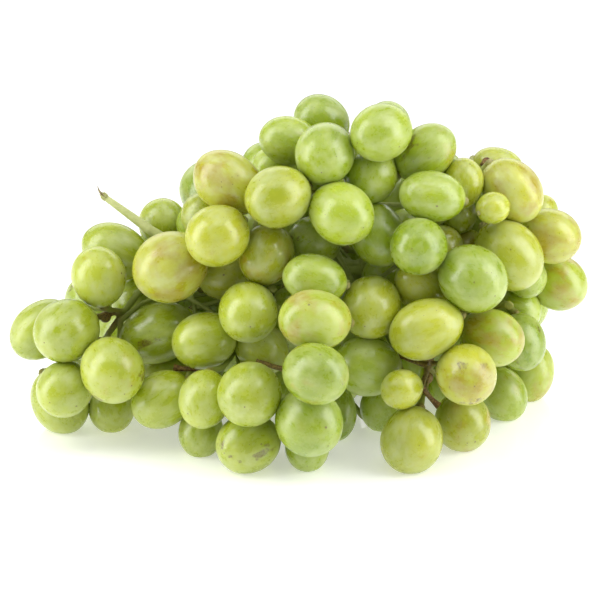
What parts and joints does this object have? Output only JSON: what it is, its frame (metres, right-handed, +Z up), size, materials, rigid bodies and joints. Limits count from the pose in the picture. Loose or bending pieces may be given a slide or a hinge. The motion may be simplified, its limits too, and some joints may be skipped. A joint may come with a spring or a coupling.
{
  "type": "bunch of grapes",
  "caption": "Loose bunch of large oval pale green table grapes on a branched green stalk, lying on its side on a flat surface.",
  "frame": {"origin": "centre of the bounding box, on the surface that the bunch lies on", "axes": "+X along the bunch, from the cut end of the stalk to the tip; +Z up; -Y is the front face of the heap"},
  "size_m": [0.2332, 0.1502, 0.1361],
  "materials": {
    "grape_pale": "thin translucent grape skin with a dusty wax bloom, pale yellow-green",
    "grape_green": "thin translucent grape skin with a dusty wax bloom, fresh green",
    "grape_golden": "thin translucent grape skin with a dusty wax bloom, ripe golden green with a faint russet blush",
    "stalk": "green herbaceous stalk, matte, turning brown and woody at its joints and at the cut end"
  },
  "bodies": {
    "root": {"stalk": "stalk", "left_tip_berry_1": "grape_pale", "left_tip_berry_2": "grape_pale", "left_tip_pair_3": "grape_pale", "left_tip_pair_4": "grape_pale", "left_tip_berry_5": "grape_pale", "left_shoulder_pair_1": "grape_pale", "left_shoulder_berry_2": "grape_pale", "left_shoulder_pair_3": "grape_pale", "left_shoulder_pair_4": "grape_pale", "upper_left_berry_1": "grape_golden", "upper_left_pair_2": "grape_golden", "upper_left_berry_3": "grape_golden", "upper_left_berry_4": "grape_golden", "upper_left_pair_5": "grape_golden", "crown_berry_1": "grape_green", "crown_pair_2": "grape_green", "crown_berry_3": "grape_green", "crown_pair_4": "grape_green", "crown_pair_5": "grape_green", "crown_berry_6": "grape_green", "crown_berry_7": "grape_green", "right_top_pair_1": "grape_golden", "right_top_pair_2": "grape_golden", "right_top_pair_3": "grape_golden", "right_top_pair_4": "grape_golden", "right_top_pair_5": "grape_golden", "right_tip_pair_1": "grape_green", "right_tip_pair_2": "grape_green", "right_tip_pair_3": "grape_green", "right_tip_berry_4": "grape_green", "right_tip_berry_5": "grape_green", "right_low_berry_1": "grape_golden", "right_low_berry_2": "grape_golden", "right_low_pair_3": "grape_golden", "right_low_berry_4": "grape_golden", "right_low_pair_5": "grape_golden", "centre_berry_1": "grape_green", "centre_pair_2": "grape_green", "centre_berry_3": "grape_green", "centre_pair_4": "grape_green", "centre_pair_5": "grape_green", "low_left_pair_1": "grape_pale", "low_left_pair_2": "grape_pale", "low_left_pair_3": "grape_pale", "low_middle_pair_1": "grape_green", "low_middle_pair_2": "grape_green", "back_foot_four_1": "grape_green", "back_foot_four_2": "grape_green", "back_low_four_1": "grape_green", "back_low_four_2": "grape_green", "back_middle_four_1": "grape_green", "back_middle_four_2": "grape_green", "back_high_six_1": "grape_green", "back_crown_four_1": "grape_green", "inner_foot_six_1": "grape_green", "inner_low_six_1": "grape_green", "inner_middle_six_1": "grape_green", "inner_high_five_1": "grape_green"}
  },
  "joints": []
}
